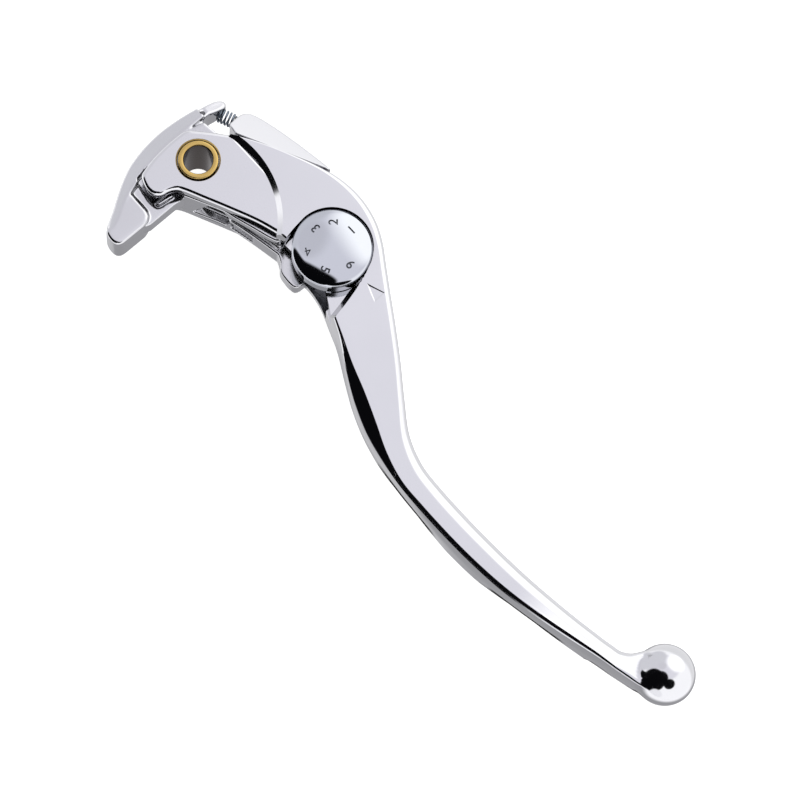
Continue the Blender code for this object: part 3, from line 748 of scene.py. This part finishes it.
def side_pocket(name, corners, near, far, lean):
    """A pocket sunk along +Y into the arm's side; corners are (x, z), and lean shifts y with x."""
    x0 = corners[0][0]
    rings = [[(x, y + lean * (x - x0), z) for x, z in corners] for y in (near, far)]
    return from_rings(name, rings)


def lug():
    """The post that holds the spring, its top falling away to the outside."""
    points = outline(((-11.5, 6.0), (-12.2, 10.0), (-12.0, 14.0), (-11.2, 16.9), (-9.9, 18.2), (-8.8, 17.9),
                      (-8.3, 16.4), (-8.6, 14.0), (-9.2, 11.0), (-7.0, 7.0)), ((-7.0, 7.0), (-11.5, 6.0)))
    inner = grown(points, -0.5)
    half = [5.2 - 0.30 * max(0.0, (y - 10.0) + 0.5 * (-9.0 - x)) for x, y in points]
    rings = [[(x, y, -h + 0.4) for (x, y), h in zip(points, half)],
             [(x, y, h - 0.4) for (x, y), h in zip(points, half)],
             [(x, y, h) for (x, y), h in zip(inner, half)]]
    rings.insert(0, [(x, y, -h) for (x, y), h in zip(inner, half)])
    return from_rings("lug", rings)


def make_knocker(material):
    half = KNOCKER_HALF
    tail_top = [(43.3, 4.2), (42.7, 4.3), (41.7, 4.2), (40.7, 3.8), (36.0, 4.2)]
    arm = outline(ARM_REAR, TAB) + tail_top + smooth_run(knocker_inner())
    arm += [(-9.0, 4.0), (-9.0, -6.0), (0.0, -9.6)]
    root = ((24.0, -0.9), (29.0, 0.7), (30.8, 1.6), (31.3, 2.6), (30.6, 4.0))
    hub = smooth_run(ARM_REAR[:4]) + smooth_run(root)
    hub += smooth_run(knocker_inner()[1:]) + [(-9.4, 4.0), (-9.4, -6.0), (-8.0, -9.6), (3.0, -9.5)]
    nose = outline(((-7.6, -18.9), (0.2, -19.0)), ((0.2, -19.0), (1.9, -19.5), (3.0, -20.8), (3.45, -22.4)),
                   ((3.45, -22.4), (3.4, -29.0)),
                   ((3.4, -29.0), (3.2, -30.6), (2.3, -31.7), (0.8, -32.0), (-1.0, -31.8), (-2.2, -31.2),
                    (-2.6, -30.2)), ((-2.6, -30.2), (-2.0, -28.6)), ((-2.0, -28.6), (-4.4, -24.0)),
                   ((-4.4, -24.0), (-7.6, -18.9)))
    neck = [(-9.0, -9.0), (4.4, -8.8), (4.0, -12.0), (4.0, -20.6), (3.45, -22.5), (-6.0, -23.0)]
    knocker = slab("knocker", arm, -half, 1.0, 0.3)
    parts = [
        slab("hub", hub, -half + 0.02, half, 0.3),
        slab("nose", nose, -NOSE_HALF, NOSE_HALF, NOSE_ROUND, steps=6),
        slab("neck", neck, NECK_LOW, NECK_TOP, 0.25),
        lug(),
        knocker_rim(),
    ]
    join(knocker, parts, "UNION")
    remesh(knocker, JOINING_VOXEL)
    trough = outline(((-8.0, -15.2), (-5.6, -16.0), (-3.0, -16.4), (0.6, -16.6), (1.7, -16.2), (2.2, -15.0),
                      (2.5, -13.0), (3.4, -11.2), (4.2, -9.6), (3.8, -8.2)), ((3.8, -8.2), (-2.0, -9.0)),
                     ((-2.0, -9.0), (-8.6, -11.0)), ((-8.6, -11.0), (-8.0, -15.2)))
    pocket = ((6.4, -5.0), (15.4, -5.0), (16.6, -1.5), (15.8, 3.2), (14.4, 5.2), (10.6, 5.0))
    cutters = [
        slab("trough", trough, TROUGH_FLOOR, 12.0),
        side_pocket("arm_pocket", pocket, -11.0, -4.9, 0.46),
        slab("arm_slot", [(16.4, -9.0), (34.0, -6.0), (34.0, 2.6), (16.4, -0.8)], 1.0, 3.4),
        slab("bar_pocket", [(16.8, -9.0), (24.2, -6.0), (24.2, 0.2), (16.8, -1.2)], -4.8, -0.6),
        slab("tab_foot", [(34.6, -8.0), (48.0, -8.0), (48.0, 1.0), (34.6, 1.0)], -9.0, -4.2),
    ]
    join(knocker, cutters, "DIFFERENCE")
    rib = slab("rib", [(0.3, -15.6), (1.2, -15.4), (1.5, -13.5), (1.9, -10.5), (0.2, -10.5)], 1.0, 3.6, 0.4)
    join(knocker, [rib], "UNION")
    remesh(knocker, CASTING_VOXEL, CASTING_RELAX)
    bores = [
        rod("knocker_bore", (0, 0, -20), (0, 0, 20), BUSH_R + RUNNING_GAP, 96),
        rod("lug_seat", spring_point(-SPRING_SEAT), spring_point(4 - SPRING_SEAT), 2.6, 48),
        rod("lug_hole", (-10.6, 10.9, -20), (-10.6, 10.9, 20), 0.8, 32),
    ]
    join(knocker, bores, "DIFFERENCE")
    soften(knocker, 40)
    return dress(knocker, material, "knocker", "knocker_casting", "knocker")


# ---------------------------------------------------------------- bush and spring

def make_bush(material):
    c = BUSH_CHAMFER
    profile = []
    for corner_r, corner_z, sr, sz in ((BUSH_R, BUSH_HALF, 1, 1), (BUSH_R, -BUSH_HALF, 1, -1),
                                       (BUSH_BORE_R, -BUSH_HALF, -1, -1), (BUSH_BORE_R, BUSH_HALF, -1, 1)):
        angles = np.radians((90, 67, 45, 22, 0))
        turn = [(corner_r - sr * c + sr * c * cos(a), corner_z - sz * c + sz * c * sin(a)) for a in angles]
        profile += turn if (sr * sz) > 0 else list(reversed(turn))
    bush = turned_ring("pivot_bush_turned", profile, 128)
    soften(bush, 35)
    return dress(bush, material, "pivot", "bronze", "pivot_bush")


def coil(name, radius, wire, turns, length, dead=0.9, steps=40, sides=16):
    """A compression spring along +Z with closed, flat ends, starting at z = 0."""
    count = int(turns * steps)
    rings = []
    for i in range(count + 1):
        share = i / steps
        live = np.clip((share - dead) / (turns - 2 * dead), 0, 1)
        lay = 2 * wire * (min(share, dead) + min(max(share - (turns - dead), 0), dead)) * 0.98
        z = wire + lay + live * (length - 2 * wire - 2 * wire * 2 * dead * 0.98)
        a = tau * share
        centre = Vector((radius * cos(a), radius * sin(a), z))
        out = Vector((cos(a), sin(a), 0))
        rings.append([centre + wire * (cos(b) * out + sin(b) * Vector((0, 0, 1)))
                      for b in np.linspace(0, tau, sides, endpoint=False)])
    return from_rings(name, rings)


def make_take_up_spring(material):
    spring = coil("take_up_spring_coil", 1.87, 0.27, 5.2, SPRING_LENGTH)
    place = Matrix.Translation(Vector(spring_point(-SPRING_LENGTH / 2)) * MM)
    lay_down = Matrix.Rotation(SPRING_AXIS, 4, "Z") @ Matrix.Rotation(radians(90), 4, "Y")
    spring.data.transform(place @ lay_down)
    spring.data.shade_smooth()
    dress(spring, material, "lever", "spring_steel", "take_up_spring")
    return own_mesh(spring)


# ---------------------------------------------------------------- dial

DIGIT_RADIUS = 7.0
DIGIT_SIZE = 3.6
DIGIT_DEPTH = 0.35
DIGIT_THICKENING = 0.06


def dome_z(r):
    """Height of the dial's domed top at a radius."""
    edge, top = DIAL_HIGH.z - 2.0, DIAL_HIGH.z
    return edge + (top - edge) * sqrt(max(0.0, 1 - (r / CROWN_R) ** 2))


def dial_body():
    """The domed crown with its groove, the skirt, and the hollow under it."""
    skirt = DIAL_LOW.z
    radii = CROWN_R * np.sin(np.radians(np.linspace(1, 89, 40)))
    profile = [(0.0, DIAL_HIGH.z)] + [(r, dome_z(r)) for r in radii]
    rim = dome_z(CROWN_R)
    profile += [(CROWN_R, rim - 0.3), (CROWN_R - 0.12, rim - 0.4), (CROWN_R - 0.12, rim - 0.5),
                (CROWN_R, rim - 0.7), (CROWN_R, skirt + 0.3), (DIAL_R - 0.2, skirt), (5.6, skirt),
                (5.6, skirt + 1.4), (2.9, skirt + 1.4), (2.9, 9.6), (0.0, 9.6)]
    return turned("dial", profile, 180, DIAL)


def digit_cutter(number, angle):
    """One numeral, standing upright for a rider when it meets the index mark."""
    text = bpy.data.curves.new(f"digit_{number}", "FONT")
    text.body = str(number)
    text.size = DIGIT_SIZE * MM
    text.align_x = "CENTER"
    text.align_y = "CENTER"
    text.extrude = 1.0 * MM
    # The 4's outline crosses itself when it is thickened, so it keeps its own weight.
    text.offset = 0.0 if number == 4 else DIGIT_THICKENING * MM
    text.resolution_u = 4
    obj = new_object(text.name, text)
    graph = bpy.context.evaluated_depsgraph_get()
    mesh = bpy.data.meshes.new_from_object(obj.evaluated_get(graph))
    bpy.data.objects.remove(obj)
    weld(mesh)
    a = radians(angle)
    slope = atan2(dome_z(DIGIT_RADIUS + 0.5) - dome_z(DIGIT_RADIUS - 0.5), 1.0)
    height = dome_z(DIGIT_RADIUS) + 1.0 - DIGIT_DEPTH
    place = Vector((DIAL[0] + DIGIT_RADIUS * cos(a), DIAL[1] + DIGIT_RADIUS * sin(a), height)) * MM
    lean = Matrix.Rotation(slope, 4, Vector((sin(a), -cos(a), 0)))
    mesh.transform(Matrix.Translation(place) @ lean @ Matrix.Rotation(a, 4, "Z"))
    return new_object(f"digit_{number}", mesh)


def make_dial(material, engraving_shade):
    dial = dial_body()
    digits = [digit_cutter(number + 1, angle) for number, angle in enumerate(DIGIT_ANGLES)]
    for obj in [dial] + digits:
        obj.data.materials.append(material)
        obj.data.materials.append(engraving_shade)
    # The numerals' cut faces take the near black second material: painted shade in the engraving.
    for digit in digits:
        digit.data.polygons.foreach_set("material_index", [1] * len(digit.data.polygons))
    bore = (DIAL[0] + DETENT_RADIUS * cos(DETENT_ANGLE), DIAL[1] + DETENT_RADIUS * sin(DETENT_ANGLE))
    detent = rod("detent_bore", (*bore, 0), (*bore, 9.6), DETENT_BORE_R, 32)
    join(dial, digits + [detent], "DIFFERENCE")
    soften(dial, 30)
    return dress(dial, material, "dial", "dial_chrome", "adjuster_dial")


# ---------------------------------------------------------------- small CAD parts

def dress_cad_nodes(finishes):
    """Gives the CAD nodes that show as they are a finish each."""
    for node, material in finishes.items():
        for slot in frame["nodes"][node].material_slots:
            slot.material = material


# ---------------------------------------------------------------- stage, light and camera

VIEW_TILT_DOWN = radians(15.0)   # camera leans towards the bottom of the picture
VIEW_TILT_SIDE = radians(-3.4)
LEVER_TURN = radians(-47.73)     # angle of the lever in the picture
CAMERA_DISTANCE = 927.0
CAMERA_AIM = (55.39, -63.94)     # on the table, before the lever's turn is taken out
SPAN = 216.0                     # width of the view at the aim
FLOOR_GAP = 0.4                  # between the floor and the head's underside


def make_camera():
    turn = Matrix.Rotation(-LEVER_TURN, 3, "Z")
    back = Vector((np.tan(VIEW_TILT_SIDE), -np.tan(VIEW_TILT_DOWN), 1.0)).normalized()
    right = Vector((0, 1, 0)).cross(back).normalized()
    up = back.cross(right)
    aim = Vector((*CAMERA_AIM, 0.0))
    axes = Matrix((turn @ right, turn @ up, turn @ back)).transposed()
    data = bpy.data.cameras.new("camera")
    data.sensor_width = 36.0
    data.lens = data.sensor_width * CAMERA_DISTANCE / SPAN
    data.clip_start = 0.01
    camera = bpy.data.objects.new("camera", data)
    camera.matrix_world = Matrix.Translation(turn @ (aim + back * CAMERA_DISTANCE) * MM) @ axes.to_4x4()
    bpy.context.scene.collection.objects.link(camera)
    bpy.context.scene.camera = camera
    return camera


def light_table():
    """A matt white light table: it glows a little, so that shadows under the part stay faint."""
    material = bpy.data.materials.new("light_table")
    material.use_nodes = True
    shader = material.node_tree.nodes["Principled BSDF"]
    shader.inputs["Base Color"].default_value = (0.30, 0.30, 0.30, 1)
    shader.inputs["Roughness"].default_value = 0.9
    shader.inputs["Emission Color"].default_value = (1, 1, 1, 1)
    shader.inputs["Emission Strength"].default_value = 0.94
    return material


def make_floor():
    mesh = bpy.data.meshes.new("floor")
    edit = bmesh.new()
    bmesh.ops.create_grid(edit, x_segments=1, y_segments=1, size=6.0)
    edit.to_mesh(mesh)
    edit.free()
    floor = new_object("floor", mesh)
    floor.location = (BALL_X / 2 * MM, 0, -(HEAD_HALF + FLOOR_GAP) * MM)
    floor.data.materials.append(light_table())
    floor.visible_glossy = False
    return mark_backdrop(floor)


# The light tent, as patches of brightness round directions measured from the camera (right, up, back).
# Each is a direction, its half angle and its edge's softness in degrees, and a colour, painted in order.
TENT = (
    ((0.35, 0.40, -0.85), 52, 8, (1.15, 1.15, 1.17)),
    ((-0.05, -0.35, -0.93), 42, 12, (0.45, 0.45, 0.47)),
    ((-0.32, -0.12, -0.94), 10, 5, (0.66, 0.66, 0.68)),
    ((-0.07, -0.18, -0.98), 7.5, 1.5, (0.02, 0.02, 0.02)),
    ((0.10, 0.55, 0.83), 46, 5, (1.16, 1.15, 1.24)),
    ((-0.55, 0.80, 0.20), 36, 6, (1.00, 1.00, 1.06)),
    ((-0.20, 0.62, 0.76), 14, 4, (0.97, 0.96, 1.03)),
    ((0.59, 0.68, 0.44), 30, 8, (1.90, 1.90, 1.90)),
    ((-0.27, -0.11, 0.96), 25.6, 2, (0.004, 0.004, 0.005)),
    ((-0.65, -0.22, 0.73), 39.5, 2, (0.004, 0.004, 0.005)),
    ((0.24, -0.49, 0.84), 19.5, 2, (0.004, 0.004, 0.005)),
    ((-0.42, -0.88, 0.22), 17, 3, (1.35, 1.35, 1.40)),
)
TENT_BASE = (1.55, 1.55, 1.58)
BACKDROP = (1.0, 1.0, 1.0)       # what the camera sees behind the part, past the floor


def make_world(camera):
    world = bpy.data.worlds.new("light_tent")
    bpy.context.scene.world = world
    world.use_nodes = True
    nodes, links = world.node_tree.nodes, world.node_tree.links
    place = nodes.new("ShaderNodeTexCoord")
    axes = camera.matrix_world.to_3x3()
    colour = None
    for direction, angle, soft, patch in TENT:
        toward = nodes.new("ShaderNodeVectorMath")
        toward.operation = "DOT_PRODUCT"
        toward.inputs[1].default_value = (axes @ Vector(direction)).normalized()
        links.new(place.outputs["Generated"], toward.inputs[0])
        inside = nodes.new("ShaderNodeMapRange")
        inside.interpolation_type = "SMOOTHSTEP"
        inside.inputs["From Min"].default_value = cos(radians(angle + soft))
        inside.inputs["From Max"].default_value = cos(radians(angle - soft))
        links.new(toward.outputs["Value"], inside.inputs["Value"])
        mix = nodes.new("ShaderNodeMix")
        mix.data_type = "RGBA"
        mix.inputs["A"].default_value = (*TENT_BASE, 1)
        mix.inputs["B"].default_value = (*patch, 1)
        links.new(inside.outputs["Result"], mix.inputs["Factor"])
        if colour:
            links.new(colour, mix.inputs["A"])
        colour = mix.outputs["Result"]
    links.new(colour, nodes["Background"].inputs["Color"])
    ray = nodes.new("ShaderNodeLightPath")
    backdrop = nodes.new("ShaderNodeBackground")
    backdrop.inputs["Color"].default_value = (*BACKDROP, 1)
    choice = nodes.new("ShaderNodeMixShader")
    links.new(ray.outputs["Is Camera Ray"], choice.inputs["Fac"])
    links.new(nodes["Background"].outputs["Background"], choice.inputs[1])
    links.new(backdrop.outputs["Background"], choice.inputs[2])
    links.new(choice.outputs["Shader"], nodes["World Output"].inputs["Surface"])
    return world


def main():
    bpy.context.scene.view_settings.view_transform = "Standard"
    polished = metal("polished_aluminium", (0.60, 0.60, 0.615), 0.09, 0.010, 1400, 6.0)
    casting = metal("tumbled_casting", (0.56, 0.56, 0.575), 0.15, 0.04, 2200, 1.0, 0.05)
    bronze = bush_metal()
    chrome = metal("dial_chrome", (0.49, 0.505, 0.54), 0.05, 0.004, 600, 1.0, 0.02)
    # A near black copy of the dial's chrome for the numerals' cuts: painted shade in the engraving.
    engraving_shade = metal("engraving_painted_shade", (0.10, 0.105, 0.115), 0.40, 0.03, 1500, 1.0, 0.10)
    zinc = metal("zinc_plate", (0.55, 0.57, 0.62), 0.28, 0.03, 1800, 1.0, 0.08)
    spring_steel = metal("spring_steel", (0.17, 0.20, 0.24), 0.22, 0.03, 1800, 1.0, 0.10)
    clip_steel = metal("phosphated_steel", (0.12, 0.12, 0.13), 0.45, 0.05, 2500, 1.0, 0.10)
    bearing = metal("bearing_steel", (0.75, 0.76, 0.79), 0.08, 0.004, 900, 1.0, 0.02)
    rubber = moulded_rubber()
    make_blade(polished)
    make_knocker(casting)
    make_bush(bronze)
    make_take_up_spring(spring_steel)
    make_dial(chrome, engraving_shade)
    dress_cad_nodes({"adjuster_cam": zinc, "shaft_o_ring": rubber, "thrust_washer": zinc,
                     "circlip": clip_steel, "detent_ball": bearing, "detent_spring": spring_steel})
    make_floor()
    make_world(make_camera())


main()
